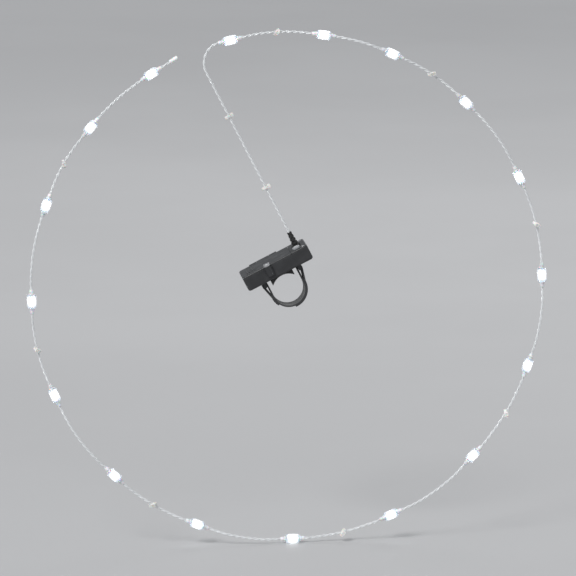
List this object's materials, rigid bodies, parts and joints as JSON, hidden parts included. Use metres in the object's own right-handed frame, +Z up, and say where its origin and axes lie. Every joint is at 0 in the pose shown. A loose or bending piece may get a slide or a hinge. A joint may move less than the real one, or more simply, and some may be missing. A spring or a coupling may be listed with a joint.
{
  "type": "spoke wheel light",
  "caption": "String of clear inline LED bulbs laced in a ring through a bicycle wheel's spokes, with a battery pack, hinged cover and push button strapped to the hub.",
  "frame": {"origin": "on the hub axis, in the wheel's middle plane", "axes": "+Y along the axle, away from the viewer; +Z up; +X to the right"},
  "size_m": [0.517, 0.0514, 0.5172],
  "materials": {
    "case_plastic": "fine-textured black ABS",
    "seal_rubber": "soft black silicone",
    "steel": "nickel-plated steel",
    "brass": "turned brass",
    "cell_can": "plain wrapped cell",
    "wire_sheath": "black insulation",
    "circuit_board": "green solder mask",
    "component_black": "moulded epoxy",
    "plunger": "moulded",
    "button_rubber": "soft grey silicone",
    "cable_sheath": "clear PVC over bright wire",
    "lens_clear": "frosted moulded, lit",
    "sleeve": "milky shrink sleeve",
    "led_board": "white solder mask",
    "led_emitter": "lit phosphor",
    "tie_nylon": "natural nylon",
    "strap_webbing": "woven hook-and-loop webbing"
  },
  "bodies": {
    "case": {"pack_base": "case_plastic", "board_cover": "case_plastic", "cover_seal": "seal_rubber", "cable_gland": "seal_rubber", "hub_pad": "seal_rubber", "hinge_pin": "steel", "board_cover_screws": "steel", "contact_plates": "steel", "contact_springs": "steel", "screw_insert": "brass", "cell_front": "cell_can", "cell_middle": "cell_can", "cell_rear": "cell_can", "return_wire": "wire_sheath", "circuit_board": "circuit_board", "control_chip": "component_black", "resistors": "component_black", "tact_switch": "component_black", "lead_cable": "cable_sheath", "string_cable": "cable_sheath", "bulb_lenses": "lens_clear", "cable_sleeves": "sleeve", "string_end_cap": "sleeve", "led_boards": "led_board", "led_chips": "led_emitter", "spoke_ties": "tie_nylon", "lead_ties": "tie_nylon", "hub_strap": "strap_webbing"},
    "cover": {"pack_cover": "case_plastic"},
    "lock_screw": {"cover_screw": "steel"},
    "button": {"push_button": "button_rubber", "switch_plunger": "plunger"}
  },
  "joints": [
    {"name": "cover_hinge", "type": "hinge", "parent": "case", "child": "cover", "pos_m": [-0.02223, 0.02255, 0.02425], "axis": [-0.891, 0, -0.454], "range_deg": [0, 100]},
    {"name": "lock_screw_turn", "type": "hinge", "parent": "cover", "child": "lock_screw", "pos_m": [-0.02223, -0.02245, 0.02425], "axis": [-0.454, 0, 0.891], "continuous": true},
    {"name": "button_press", "type": "slide", "parent": "case", "child": "button", "axis": [0.454, 0, -0.891], "range_m": [0, 0.0008], "stiffness_N_per_m": 150, "springref_m": -0.002}
  ]
}
